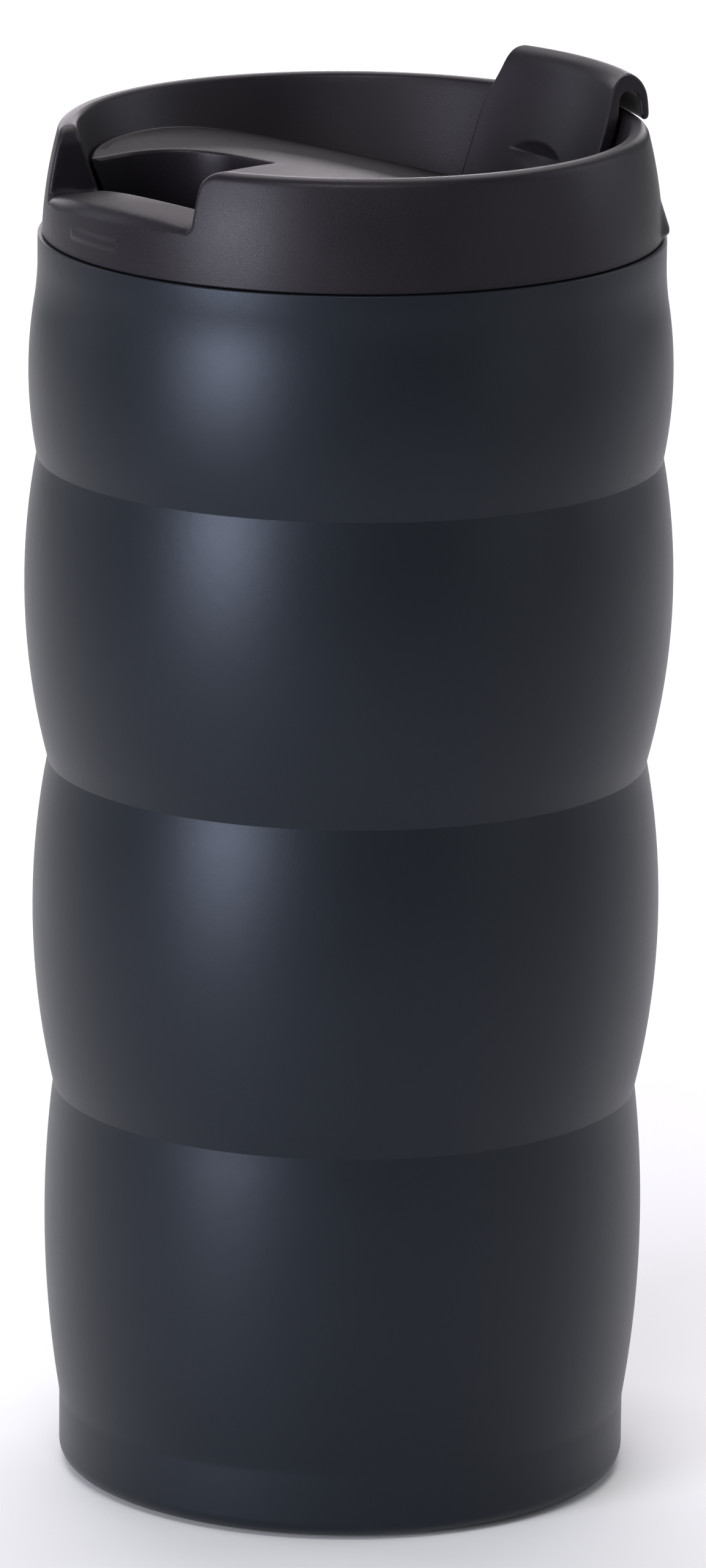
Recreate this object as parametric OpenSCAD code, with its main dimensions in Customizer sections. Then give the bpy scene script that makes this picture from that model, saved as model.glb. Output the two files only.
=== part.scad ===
// Insulated travel mug: double-wall steel cup with three waist creases, a push-in lid
// with a drinking notch, and a closure dial that is turned by a hook over the rim.
// Millimetres. +Z up, origin at the centre of the foot, the drinking notch faces -Y.

/* [Cup] */
// Height of the steel cup, foot to mouth
cup_h = 145.9; // [145.4:0.1:146.4]
// Greatest radius of the top, second, third and bottom tiers
tier_r = [36.85, 37.25, 36.2, 34.7];
// Heights of those greatest radii
tier_z = [130.1, 105.4, 67, 30.1];
// Radii of the arcs that round the four tiers
tier_arc = [51, 81.4, 93, 133];
// Radius of the straight band at the mouth
mouth_r = 35.85; // [35.75:0.05:35.95]
// Radius of the hollow curve between the top tier and the mouth band
mouth_cove = 30.4; // [28:0.2:32]
// Radius of the foot band
foot_r = 32.9; // [32.7:0.1:33.1]
// Radius of the hollow curve above the foot band
foot_cove = 6; // [4:0.5:8]
// Rounding of the foot's lower edge
foot_round = 2; // [1.5:0.1:2.5]
// Thickness of the steel walls
steel_t = 0.4; // [0.35:0.05:0.5]
// Inside radius of the liner's straight part
liner_r = 30.8; // [30.4:0.1:31]
// Inside radius of the liner's neck, where the lid plugs in
neck_r = 33.2; // [33.1:0.05:33.4]
// Height of the liner's floor
liner_floor = 8.5; // [8:0.1:10]

/* [Lid] */
// Gap between the cup's mouth and the lid's skirt
seam_gap = 0.3; // [0.3:0.05:0.5]
// Height of the lid's rim over the cup's mouth
rim_h = 12.6; // [12.2:0.1:13]
// Outer radius of the skirt at the seam
skirt_r = 35.35; // [35.2:0.05:35.5]
// Outer radius of the skirt just under the rim's crown
crown_r = 33.7; // [33.5:0.05:33.9]
// Bulge of the skirt's outer line
skirt_bulge = 0.3; // [0.2:0.05:0.4]
// Inner radius of the rim at its crown
bowl_r = 31.55; // [31.5:0.05:31.7]
// How far the bowl's wall leans in for each millimetre down
bowl_lean = 0.34; // [0.32:0.01:0.35]
// Width of the drinking notch
notch_w = 28.8; // [26:0.2:30]
// Depth of the notch's sill under the crown, at the inner and outer faces
sill_drop = [4.9, 7.5];
// Depth of the sill's crowned line under the rim's crown, at its highest point and at the left cheek
sill_crown = [4.8, 7.8];
// How far the sill's highest point lies to the right of the notch's middle
sill_side = 4.5; // [0:0.5:5]
// Depth of the plug under the cup's mouth
plug_depth = 13.5; // [13.5:0.1:14.5]
// Outer radius of the plug's wall
plug_r = 32.5; // [32.4:0.05:32.6]
// Outer radius of the gasket's lips, drawn as they are in the cup
gasket_r = 32.9; // [32.8:0.05:32.9]

/* [Dial] */
// Gap between the dial and the bowl's wall, measured level
dial_gap = 0.45; // [0.35:0.05:0.5]
// Depth of the dial's level side under the crown
ramp_high = 3.95; // [3.8:0.05:4.1]
// Greatest depth of the dial's top under the crown
ramp_low = 10.9; // [10.6:0.1:10.9]
// Slope of the ramp
ramp_slope = 0.25; // [0.24:0.01:0.26]
// Radius of the well's round end, left of the notch
well_round = 8.65; // [8.4:0.05:8.9]
// Centre of the well's round end
well_end = [-7.4, -18.4];
// Centre of the well's narrow tip, towards the hook
well_tip = [-3.9, -9.15];
// Radius of the bend between the tip's near side and the right cheek
well_bend = 11; // [10:0.5:12]
// Width of the hook's leg
hook_w = 24.4; // [24:0.2:24.8]
// How much each side of the hook draws in towards its crown
hook_taper = 1.3; // [1:0.1:1.5]
// Height of the hook's crown over the rim's crown
hook_top = 4.55; // [4.4:0.05:4.7]
// Width and height of the thumb scoop in the hook's leg
scoop_size = [7.2, 2.8];
// Depth of the thumb scoop
scoop_depth = 0.8; // [0.6:0.05:1]
// Radius of the pivot hub
hub_r = 4; // [4:0.1:4.2]
// Running clearance of the hub in its bore
hub_fit = 0.08; // [0.05:0.01:0.1]

/* [Hidden] */
$fn = 144;

paint = "#2b3440";
steel = "#b9bcc0";
charcoal = "#3a373a";
silicone = "#5b595c";

far = 60;             // larger than any radius of the mug
slip = 0.01;          // how far a cutting shape runs past the face it cuts
rim_z = cup_h + rim_h;
skirt_z = cup_h + seam_gap;
plug_z = cup_h - plug_depth;

// Cup, under the paint
pad_h = 1.2;
pad_r = 27;
curl_z = 0.4;         // the steel foot stands this far off the ground, the pad touches it
cap_r = 28.4;         // where the base cap meets the foot's curl
cap_z = 2.2;          // underside of the base cap
dimple_r = 6;
dimple_h = 2;
vent_pip_r = 1;
neck_z = cup_h - 15;  // lower end of the liner's neck
neck_cone = 4.5;      // height of the cone between liner and neck
liner_round = 6;
shield_t = 0.15;
mouth_round = 0.35;   // rolled edge of the mouth
tier_steps = 10;
cove_steps = 6;

// Lid, inside
sill_wall = 2;        // wall left round the skirt's hollow
hollow_z = rim_z - 5;   // top of the skirt's hollow
collar_r = 27.6;      // bore of the plug's collar, round the dial's base
flange_t = 1.6;
plug_t = 2.5;
deck_z = 144;         // top of the deck that the dial's seal lies over
deck_t = 2;
boss_r = 6.4;
boss_z = 140.4;
channel_r = [14, 25.5];
channel_turn = -22;   // the drink hole's middle, round from the notch
channel_angle = 8;
channel_t = 1.2;
vent_r = 0.9;
vent_at = [-4.8, -9.9];
cover_t = 1.5;
groove_z = plug_z + 4.2;
groove_h = 3.2;
groove_d = 1.3;
stop_rib_r = [7, 9];
stop_rib_z = 138.4;
stop_rib_angle = 76;

// Dial, inside
base_r = 27.1;
base_z = 145;
cap_base_z = 146;
seal_t = 0.7;
hub_z = 139.4;
plate_t = 1;
arm_r = 8.2;
arm_w = 3;
screw_r = 1.5;
head_r = 3;
hook_foot_t = 1.4;    // thickness of the hook's leg at its foot
taper_z = [-3, 4];    // the hook's sides draw in between these heights over the rim's crown
leg_lean = 0.3185;    // how far the leg's inner face leans out for each millimetre up
head_h = 1.8;
scoop_drop = 6.8;     // depth of the scoop's middle under the crown
scoop_side = -1.7;    // how far the scoop's middle sits to the side
oring_r = 0.8;
oring_z = 142.2;

function rim(depth) = rim_z - depth;
function bowl_wall(z) = bowl_r - bowl_lean * (rim_z - z);

// Depth of the dial's top under the crown, u millimetres from the axis towards the notch:
// level on the notch's side, then a slope that levels out before the hook
ramp_turn = 4;
function ramp_depth(u) = min(ramp_low, ramp_high
    + ramp_slope * ramp_turn * ln(1 + exp((ramp_turn - u) / ramp_turn)));

// Points of an arc from a to b that stands bulge proud of the line between them,
// to the right-hand side of the way from a to b
function arc(a, b, bulge, n) =
    let (run = b - a, len = norm(run), side = [run[1], -run[0]] / len)
    let (r = (len * len / 4 + bulge * bulge) / (2 * bulge), half = asin(len / 2 / r))
    let (centre = (a + b) / 2 + side * (bulge - r))
    [for (i = [0 : n]) let (t = -half + 2 * half * i / n)
        centre + r * (side * cos(t) + run / len * sin(t))];

// ---------------------------------------------------------------- cup

function tier_centre(i) = [tier_r[i] - tier_arc[i], tier_z[i]];

// The crease where tier i meets tier i + 1 under it
function crease(i, inset) =
    let (a = tier_centre(i), b = tier_centre(i + 1), d = norm(b - a), u = (b - a) / d)
    let (ra = tier_arc[i] - inset, rb = tier_arc[i + 1] - inset)
    let (along = (d * d + ra * ra - rb * rb) / (2 * d))
        a + u * along + [-u[1], u[0]] * sqrt(ra * ra - along * along);

// Points from p to q on the circle of radius r about c
function sweep(c, r, p, q, n) =
    let (from = atan2(p[1] - c[1], p[0] - c[0]), to = atan2(q[1] - c[1], q[0] - c[0]))
    [for (i = [0 : n]) let (t = from + (to - from) * i / n) c + r * [cos(t), sin(t)]];

// Centre of the cove of radius c between tier i and a straight band,
// above the tier (side = 1) or below it (side = -1)
function cove_centre(i, band_r, c, side) =
    let (reach = tier_arc[i] + c, level = band_r + c - tier_centre(i)[0])
        [band_r + c, tier_z[i] + side * sqrt(reach * reach - level * level)];

// Points of the cove from the tier to the upright band
function cove(i, band_r, c, side, inset) =
    let (b = cove_centre(i, band_r, c, side), run = b - tier_centre(i), turn = atan(run[1] / run[0]))
    [for (k = [0 : cove_steps]) let (t = turn * (1 - k / cove_steps)) b - (c + inset) * [cos(t), sin(t)]];

function tier_line(i, low, high, inset) =
    sweep(tier_centre(i), tier_arc[i] - inset, low, high, tier_steps);

function backwards(list) = [for (i = [len(list) - 1 : -1 : 0]) list[i]];

// The cup's outline from the foot's curl up to the mouth, moved in by inset
function cup_line(inset) =
    let (corner = [foot_r - foot_round, curl_z + foot_round], r = foot_round - inset)
    let (foot = [for (t = [-90 : 15 : 0]) corner + r * [cos(t), sin(t)]])
    let (low_cove = cove(3, foot_r, foot_cove, -1, inset), high_cove = cove(0, mouth_r, mouth_cove, 1, inset))
        concat(foot, backwards(low_cove),
            tier_line(3, low_cove[0], crease(2, inset), inset),
            tier_line(2, crease(2, inset), crease(1, inset), inset),
            tier_line(1, crease(1, inset), crease(0, inset), inset),
            tier_line(0, crease(0, inset), high_cove[0], inset), high_cove);

module outer_shell() color(paint) {
    lip_r = neck_r + steel_t;
    rotate_extrude() polygon(concat([[cap_r, curl_z]], cup_line(0),
        arc([mouth_r, cup_h - mouth_round], [mouth_r - mouth_round, cup_h], mouth_round * 0.28, 4),
        [[lip_r, cup_h], [lip_r, cup_h - steel_t], [mouth_r - steel_t, cup_h - steel_t]],
        backwards(cup_line(steel_t)), [[cap_r, curl_z + steel_t]]));
}

// Half of the liner's section; t is 0 inside and the wall's thickness outside
module liner_section(t) {
    r = liner_r + t;
    difference() {
        translate([0, liner_floor - t]) square([r, neck_z - liner_floor + t]);
        translate([liner_r - liner_round, 0]) square([far, liner_floor + liner_round]);
    }
    intersection() {
        translate([liner_r - liner_round, liner_floor + liner_round]) circle(r = liner_round + t);
        square([far, liner_floor + liner_round]);
    }
    polygon([[0, neck_z - neck_cone], [r, neck_z - neck_cone], [neck_r + t, neck_z], [0, neck_z]]);
    translate([0, neck_z]) square([neck_r + t, cup_h - neck_z]);
}

module inner_liner() color(steel) rotate_extrude() difference() {
    liner_section(steel_t);
    liner_section(0);
    translate([0, cup_h - slip]) square([far, 1]);
}

module base_cap() color(steel) difference() {
    union() {
        translate([0, 0, cap_z]) cylinder(r = cap_r, h = steel_t);
        translate([0, 0, curl_z]) cylinder(r = cap_r, h = cap_z - curl_z + slip);
        translate([0, 0, cap_z]) cylinder(r = dimple_r + steel_t, h = dimple_h + steel_t);
    }
    cylinder(r = cap_r - steel_t, h = cap_z);
    translate([0, 0, cap_z - slip]) cylinder(r = dimple_r, h = dimple_h + slip);
    translate([0, 0, cap_z]) cylinder(r = vent_pip_r, h = far);
}

module heat_shield() color("goldenrod") difference() {
    shield_h = neck_z - neck_cone - liner_floor - liner_round - 4;
    translate([0, 0, liner_floor + liner_round + 2]) cylinder(r = liner_r + steel_t + shield_t, h = shield_h);
    cylinder(r = liner_r + steel_t, h = far * 3);
}

module vacuum_getter() color("dimgray") {
    z = liner_floor - steel_t;
    translate([12, 0, z - 1.6]) cylinder(r = 3.5, h = 1.6);
    translate([12, 0, z - 2]) cylinder(r = 1.6, h = 0.4 + slip);
}

module vacuum_seal() color("silver") {
    z = cap_z + dimple_h;
    translate([0, 0, z - 0.8]) cylinder(r1 = 1.6, r2 = 2.6, h = 0.8);
    translate([0, 0, z - slip]) cylinder(r = vent_pip_r, h = steel_t);
}

module base_pad() color(silicone) difference() {
    union() {
        cylinder(r = pad_r, h = pad_h);
        translate([0, 0, pad_h - slip]) cylinder(r = pad_r, h = cap_z - pad_h + slip);
    }
    translate([0, 0, pad_h]) cylinder(r = pad_r - 6, h = far);
}

// ---------------------------------------------------------------- lid

// Half of the rim's section: skirt, rounded crown and leaning bowl wall
module rim_section() {
    round_out = 0.9;
    round_in = 0.5;
    bulge_out = 0.25;
    bulge_in = 0.1;
    side_z = rim(1.1);
    wall_z = rim(round_in);
    skirt = arc([skirt_r, skirt_z], [crown_r, side_z], skirt_bulge, 8);
    polygon(concat(skirt,
        arc([crown_r, side_z], [crown_r - round_out, rim_z], bulge_out, 6),
        arc([bowl_wall(wall_z) + round_in, rim_z], [bowl_wall(wall_z), wall_z], bulge_in, 5),
        [[bowl_wall(skirt_z), skirt_z]]));
}

// The space over the sill: a revolved line that is rounded from face to face
module over_sill() {
    past = 1;
    bulge = 0.7;
    clear_z = rim_z + 4;
    in_r = bowl_wall(rim(sill_drop[0])) - past;
    out_r = skirt_r + past;
    sill = arc([out_r, rim(sill_drop[1])], [in_r, rim(sill_drop[0])], bulge, 8);
    rotate_extrude() polygon(concat(sill, [[in_r, clear_z], [out_r, clear_z]]));
}

// The notch's outline, seen from the front: upright cheeks with rounded upper corners
module notch_prism(bottom) {
    flare = 2;
    half = notch_w / 2;
    right = [for (a = [0 : 15 : 90]) [half + flare - flare * cos(a), -flare + flare * sin(a)]];
    left = [for (a = [90 : -15 : 0]) [-half - flare + flare * cos(a), -flare + flare * sin(a)]];
    translate([0, 0, rim_z]) rotate([90, 0, 0]) linear_extrude(far)
        polygon(concat(bottom, right, [[half + flare, 2], [-half - flare, 2]], left));
}

// The skirt is hollow from below, except round the notch
module skirt_hollow() {
    solid = 34;
    top_w = 0.8;
    top_r = bowl_wall(hollow_z) + sill_wall;
    rotate([0, 0, solid - 90]) rotate_extrude(angle = 360 - 2 * solid)
        polygon([[bowl_wall(skirt_z) + sill_wall, skirt_z - slip], [skirt_r - sill_wall, skirt_z - slip],
            [top_r + top_w, hollow_z], [top_r, hollow_z]]);
}

// Raised pad on the skirt under the notch
module front_pad() {
    h = 1.7;
    half_angle = 8.5;
    root = skirt_r - 1;
    face = skirt_r + 0.02;
    rotate([0, 0, -90 - half_angle]) rotate_extrude(angle = 2 * half_angle) translate([0, rim(10.6)])
        polygon([[root, 0], [face - 0.12, 0], [face, 0.2], [face - 0.04, h - 0.3], [face - 0.17, h], [root, h]]);
}

// Lip at the back for lifting the lid off: a flare that is rounded at its lower edge
module lift_lip() {
    half_angle = 40;
    proud = 0.75;
    root = skirt_r - 1;
    low_z = skirt_z + 0.2;
    edge = 0.4;
    fade_z = skirt_z + 4.3;
    rotate([0, 0, 90 - half_angle]) rotate_extrude(angle = 2 * half_angle)
        polygon(concat([[root, low_z]],
            arc([skirt_r + proud - edge, low_z], [skirt_r + proud, low_z + edge], edge * 0.29, 4),
            [[skirt_r - 0.45, fade_z], [root, fade_z]]));
}

// The sill's line from cheek to cheek, seen from the front: it falls away on both sides of its crown
function sill_line(half) =
    [for (i = [-8 : 8]) let (x = half * i / 8, t = (x - sill_side) / (half + sill_side))
        [x, -sill_crown[0] - (sill_crown[1] - sill_crown[0]) * t * t]];

module lid_rim() color(charcoal) {
    half = notch_w / 2;
    difference() {
        rotate_extrude() rim_section();
        intersection() {
            over_sill();
            notch_prism([[-half, -rim_h], [half, -rim_h]]);
        }
        notch_prism(sill_line(half));
        skirt_hollow();
    }
    front_pad();
    lift_lip();
}

function polar(r, a) = r * [sin(a), -cos(a)];

// Plan of the drink hole: a curved slot with round ends
module channel_plan(grow) {
    mid = (channel_r[0] + channel_r[1]) / 2;
    half = (channel_r[1] - channel_r[0]) / 2 + grow;
    end = channel_angle;
    step = 4;
    rotate([0, 0, channel_turn]) polygon(concat([for (a = [-end : step : end]) polar(mid + half, a)],
        [for (t = [15 : 15 : 165]) polar(mid, end) + half * [sin(end + t), -cos(end + t)]],
        [for (a = [end : -step : -end]) polar(mid - half, a)],
        [for (t = [15 : 15 : 165]) polar(mid, -end) + half * [sin(180 - end + t), -cos(180 - end + t)]]));
}

module lid_plug() color(charcoal) difference() {
    union() {
        difference() {
            translate([0, 0, plug_z]) cylinder(r = plug_r, h = deck_z - plug_z);
            translate([0, 0, plug_z - 1]) cylinder(r = plug_r - plug_t, h = deck_z - deck_t - plug_z + 1);
        }
        translate([0, 0, skirt_z - flange_t]) cylinder(r = plug_r + 0.4, h = flange_t);
        translate([0, 0, deck_z - slip]) cylinder(r = plug_r, h = skirt_z - deck_z);
        translate([0, 0, boss_z]) cylinder(r = boss_r, h = deck_z - boss_z);
        translate([0, 0, plug_z + cover_t]) linear_extrude(deck_z - plug_z - cover_t - slip)
            channel_plan(channel_t);
        translate([vent_at[0], vent_at[1], plug_z + cover_t])
            cylinder(r = vent_r + channel_t, h = deck_z - plug_z - cover_t - slip);
        translate([0, 0, stop_rib_z]) rotate([0, 0, -stop_rib_angle])
            rotate_extrude(angle = 2 * stop_rib_angle) translate([stop_rib_r[0], 0])
                square([stop_rib_r[1] - stop_rib_r[0], deck_z - stop_rib_z - slip]);
    }
    translate([0, 0, deck_z]) cylinder(r = collar_r, h = far);
    cylinder(r = hub_r + hub_fit, h = far * 3);
    linear_extrude(far * 3) channel_plan(0);
    translate([vent_at[0], vent_at[1], 0]) cylinder(r = vent_r, h = far * 3);
    translate([0, 0, groove_z]) difference() {
        cylinder(r = plug_r + 1, h = groove_h);
        translate([0, 0, -1]) cylinder(r = plug_r - groove_d, h = groove_h + 2);
    }
}

module plug_cover() color(charcoal) difference() {
    translate([0, 0, plug_z]) cylinder(r = plug_r - plug_t, h = cover_t);
    linear_extrude(far * 3) channel_plan(0);
    translate([vent_at[0], vent_at[1], 0]) cylinder(r = vent_r, h = far * 3);
}

module lid_gasket() color(silicone) {
    root = plug_r - groove_d;
    edge = plug_r + 0.05;
    lip_h = 0.6;
    step = groove_h - lip_h;
    rotate_extrude() translate([0, groove_z]) polygon([[root, 0], [edge, 0], [gasket_r, 0.4],
        [gasket_r, 0.4 + lip_h], [edge, 1.3], [edge, step - 0.6], [gasket_r, step - 0.1],
        [gasket_r, step + lip_h - 0.1], [edge, groove_h], [root, groove_h]]);
}

// ---------------------------------------------------------------- dial

function circle_points(c, r, from, to, n) =
    [for (i = [0 : n]) let (t = from + (to - from) * i / n) c + r * [cos(t), sin(t)]];

// Plan of the well: from the left cheek round the round end, over the tip and
// down its near side, then round a bend to the right cheek. Angles are those of the edge's outer side.
left_angle = 192;
near_angle = 14;
near_run = 6.2;
right_angle = 70;
tip_round = 0.6;
module well_plan(grow) {
    step = well_tip - well_end;
    back_angle = atan2(step[1], step[0]) + acos((well_round - tip_round) / norm(step));
    near_side = [cos(near_angle), sin(near_angle)];
    bend = well_tip + (tip_round + well_bend) * near_side + near_run * [near_side[1], -near_side[0]];
    left = circle_points(well_end, well_round + grow, left_angle, back_angle, 24);
    tip = circle_points(well_tip, tip_round + grow, back_angle, near_angle, 8);
    right = circle_points(bend, well_bend - grow, 180 + near_angle, 180 + right_angle, 12);
    polygon(concat([left[0] - far * [sin(left_angle), -cos(left_angle)]], left, tip, right,
        [right[12] + far * [sin(right_angle), -cos(right_angle)]]));
}

// Everything under the dial's sloping top
module under_ramp() {
    top = [for (u = [-30 : 2.5 : 32.5]) [-u, rim(ramp_depth(u))]];
    translate([-far, 0, 0]) rotate([90, 0, 90]) linear_extrude(2 * far)
        polygon(concat(top, [[-32.5, 100], [30, 100]]));
}

// The dial's round side, which follows the bowl's wall
module dial_cone() {
    low_z = cap_base_z;
    rotate_extrude() polygon([[0, low_z], [bowl_wall(low_z) - dial_gap, low_z],
        [bowl_wall(rim_z) - dial_gap, rim_z], [0, rim_z]]);
}

// Hollow under the high side of the dial, round the well's wall
module dial_hollow() {
    wall = 1.4;
    intersection() {
        translate([0, 0, cap_base_z - 1]) linear_extrude(far) difference() {
            circle(r = base_r - 2 * wall);
            well_plan(wall);
            translate([-far, 12]) square(2 * far);
        }
        translate([0, 0, -wall]) under_ramp();
    }
}

// Slot at the dial's low edge that takes the hook's foot, open outwards
module hook_slot() {
    low_r = bowl_wall(cap_base_z) - dial_gap - hook_foot_t;
    rise = 5;
    intersection() {
        rotate_extrude() polygon([[low_r - leg_lean, cap_base_z - 1], [far, cap_base_z - 1],
            [far, cap_base_z + rise], [low_r + rise * leg_lean, cap_base_z + rise]]);
        translate([-hook_w / 2, 20, cap_base_z - 2]) cube([hook_w, far, far]);
    }
}

module dial_cap() color(charcoal) difference() {
    intersection() {
        dial_cone();
        under_ramp();
    }
    translate([0, 0, cap_base_z - 1]) linear_extrude(far) well_plan(0);
    dial_hollow();
    hook_slot();
}

module dial_base() color(charcoal) difference() {
    union() {
        translate([0, 0, base_z]) cylinder(r = base_r, h = cap_base_z - base_z);
        translate([0, 0, hub_z]) cylinder(r = hub_r, h = cap_base_z - hub_z);
    }
    translate([0, 0, base_z - 1]) linear_extrude(far) well_plan(0);
    translate([0, 0, hub_z - 1]) cylinder(r = screw_r, h = cap_base_z - hub_z);
    translate([0, 0, oring_z - oring_r]) difference() {
        cylinder(r = hub_r + 1, h = 2 * oring_r);
        cylinder(r = hub_r - 2 * oring_r, h = 2 * oring_r);
    }
}

module dial_seal() color(silicone) difference() {
    translate([0, 0, base_z - seal_t]) cylinder(r = base_r - 0.3, h = seal_t);
    translate([0, 0, base_z - seal_t - 1]) linear_extrude(far) well_plan(0);
    translate([0, 0, base_z - seal_t - 1]) cylinder(r = hub_r + 1, h = far);
}

// Section of the hook: leg, hollow over the rim's crown, outer lip and arched top
module hook_section() {
    low_z = cap_base_z;
    back = bowl_wall(low_z) - dial_gap;
    face = back - hook_foot_t;
    leg_z = rim(0.6);
    hollow = [32.5, rim_z + 1.1];
    hollow_w = 1.35;
    hollow_h = 1.3;
    lip_in = 33.95;
    lip_out = 34.9;
    lip_low = rim(0.8);
    lip_high = rim_z + 1.5;
    arch_z = rim_z + hook_top + 1;
    face_z = rim_z + 3.2;
    polygon(concat([[back, low_z], [bowl_wall(leg_z) - dial_gap, leg_z]],
        [for (a = [170 : -20 : 10]) hollow + [hollow_w * cos(a), hollow_h * sin(a)]],
        [[lip_in, lip_low + 0.1], [lip_in + 0.1, lip_low], [lip_out - 0.25, lip_low], [lip_out, lip_low + 0.3]],
        arc([lip_out, lip_high], [32.9, arch_z], 0.25, 6),
        arc([32.1, arch_z], [face + (face_z - low_z) * leg_lean, face_z], 0.35, 6),
        [[face, low_z]]));
}

function ease(t) = let (c = min(1, max(0, t))) c * c * (3 - 2 * c);

// Half of the hook's width and height of its crown, both over the rim's crown
function hook_half(h) = hook_w / 2 - hook_taper * ease((h - taper_z[0]) / (taper_z[1] - taper_z[0]));

// The hook's outline seen from the front, with rounded upper corners
module hook_prism() {
    corner = 0.9;
    inside = hook_half(hook_top) - corner;
    low = -rim_h - 1;
    sides = [for (h = [taper_z[0] : 1 : taper_z[1] - 1]) [hook_half(h), h]];
    right = circle_points([inside, hook_top - corner], corner, 0, 90, 6);
    left = circle_points([-inside, hook_top - corner], corner, 90, 180, 6);
    translate([0, far, rim_z]) rotate([90, 0, 0]) linear_extrude(far - 10)
        polygon(concat([[hook_w / 2, low]], sides, right, left,
            [for (p = backwards(sides)) [-p[0], p[1]]], [[-hook_w / 2, low]]));
}

module thumb_hook() color(charcoal) difference() {
    intersection() {
        rotate_extrude() hook_section();
        hook_prism();
    }
    scoop();
}

// Eye-shaped scoop for the thumb in the leg's inner face, cut by two balls' overlap
module scoop() {
    half = scoop_size / 2;
    ring = (half[0] * half[0] + half[1] * half[1]) / (2 * half[1]);
    off = ring - half[1];
    front = (ring * ring - off * off - scoop_depth * scoop_depth) / (2 * scoop_depth);
    z = rim(scoop_drop);
    face_y = bowl_wall(cap_base_z) - dial_gap - hook_foot_t + (z - cap_base_z) * leg_lean;
    translate([scoop_side, face_y, z]) rotate([-atan(leg_lean), 0, 0]) intersection() {
        translate([0, -front, off]) sphere(r = norm([front, ring]));
        translate([0, -front, -off]) sphere(r = norm([front, ring]));
    }
}

module pivot_oring() color("#222222") translate([0, 0, oring_z]) rotate_extrude()
    translate([hub_r - oring_r, 0]) circle(r = oring_r, $fn = 32);

module wave_spring() color(steel) difference() {
    h = boss_z - 0.3 - hub_z;
    translate([0, 0, hub_z]) cylinder(r = boss_r - 0.8, h = h);
    translate([0, 0, hub_z - 1]) cylinder(r = hub_r + 0.3, h = h + 2);
}

module stop_plate() color(steel) difference() {
    translate([0, 0, hub_z - plate_t]) union() {
        cylinder(r = boss_r - 0.8, h = plate_t);
        translate([-arm_w / 2, 0, 0]) cube([arm_w, arm_r, plate_t]);
    }
    translate([0, 0, hub_z - plate_t - 1]) cylinder(r = screw_r + 0.05, h = far);
}

module pivot_screw() color("silver") {
    z = hub_z - plate_t;
    difference() {
        translate([0, 0, z - head_h]) cylinder(r = head_r, h = head_h);
        for (a = [0, 90]) rotate([0, 0, a]) translate([-2, -0.4, z - head_h - 1]) cube([4, 0.8, 2]);
    }
    translate([0, 0, z - slip]) cylinder(r = screw_r, h = 5.5);
}

outer_shell();
inner_liner();
base_cap();
heat_shield();
vacuum_getter();
vacuum_seal();
base_pad();
lid_rim();
lid_plug();
plug_cover();
lid_gasket();
dial_cap();
dial_base();
dial_seal();
thumb_hook();
pivot_oring();
wave_spring();
stop_plate();
pivot_screw();
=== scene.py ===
"""Insulated travel mug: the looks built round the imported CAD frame.

Lengths in this file are millimetres until they reach a mesh, which is in metres.
+Z is up, the drinking notch faces -Y, the hook hangs over the rim at +Y.
"""

import math

import bmesh
import bpy
from mathutils import Matrix, Vector
from mathutils.geometry import tessellate_polygon

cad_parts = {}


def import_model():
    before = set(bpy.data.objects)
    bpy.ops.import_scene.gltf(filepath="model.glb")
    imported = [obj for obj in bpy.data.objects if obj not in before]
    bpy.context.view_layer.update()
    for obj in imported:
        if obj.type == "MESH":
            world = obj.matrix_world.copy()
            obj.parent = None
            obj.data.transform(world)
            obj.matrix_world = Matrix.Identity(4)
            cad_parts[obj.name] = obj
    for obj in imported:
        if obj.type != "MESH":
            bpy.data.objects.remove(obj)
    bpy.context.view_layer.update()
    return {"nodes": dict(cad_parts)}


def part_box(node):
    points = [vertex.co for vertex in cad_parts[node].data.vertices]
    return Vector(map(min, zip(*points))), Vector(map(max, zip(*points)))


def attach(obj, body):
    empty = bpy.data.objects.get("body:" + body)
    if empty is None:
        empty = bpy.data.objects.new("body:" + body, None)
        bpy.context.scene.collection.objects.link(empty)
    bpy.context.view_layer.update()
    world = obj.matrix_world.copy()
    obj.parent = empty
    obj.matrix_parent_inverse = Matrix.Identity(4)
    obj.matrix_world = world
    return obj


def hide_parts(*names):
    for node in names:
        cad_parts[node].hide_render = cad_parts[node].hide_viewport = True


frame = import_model()
nodes = frame["nodes"]

MM = 0.001
# the camera stands this many degrees round from the notch, towards +X
VIEW_AZIMUTH = 56.0


def top_of(node):
    """Height of the node's highest point."""
    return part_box(node)[1].z / MM


def foot_of(node):
    """Height of the node's lowest point."""
    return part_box(node)[0].z / MM


# ---------------------------------------------------------------- sizes, as in part.scad

CUP_H = top_of("outer_shell")
RIM_Z = top_of("lid_rim")
SKIRT_Z = foot_of("lid_rim")
CAP_BASE_Z = foot_of("dial_cap")
CURL_Z = foot_of("outer_shell")

# (greatest radius, its height, arc radius) of the tiers, from the top
TIERS = [(36.85, 130.1, 51.0), (37.25, 105.4, 81.4), (36.2, 67.0, 93.0), (34.7, 30.1, 133.0)]
# the cup's mouth: radius, hollow curve under it and rounded edge
MOUTH_R = 35.85
MOUTH_COVE = 30.4
MOUTH_ROUND = 0.15
# the foot band: radius, hollow curve over it and rounded lower edge
FOOT_R = 32.9
FOOT_COVE = 6.0
FOOT_ROUND = 2.0
# the sheet ends inwards at these radii, at the foot and at the mouth
CURL_R = 28.4
LIP_R = 33.6
STEEL_T = 0.4
CREASE_ROUND = 0.3

# the rim: radius at the seam and under the crown, how far down that is, and the bulge between them
SKIRT_R = 35.35
CROWN_R = 33.7
CROWN_SIDE = 1.1
SKIRT_BULGE = 0.3
# the bowl's wall: radius at the crown, and how far it leans in for each millimetre down
BOWL_R = 31.55
BOWL_LEAN = 0.34
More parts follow.
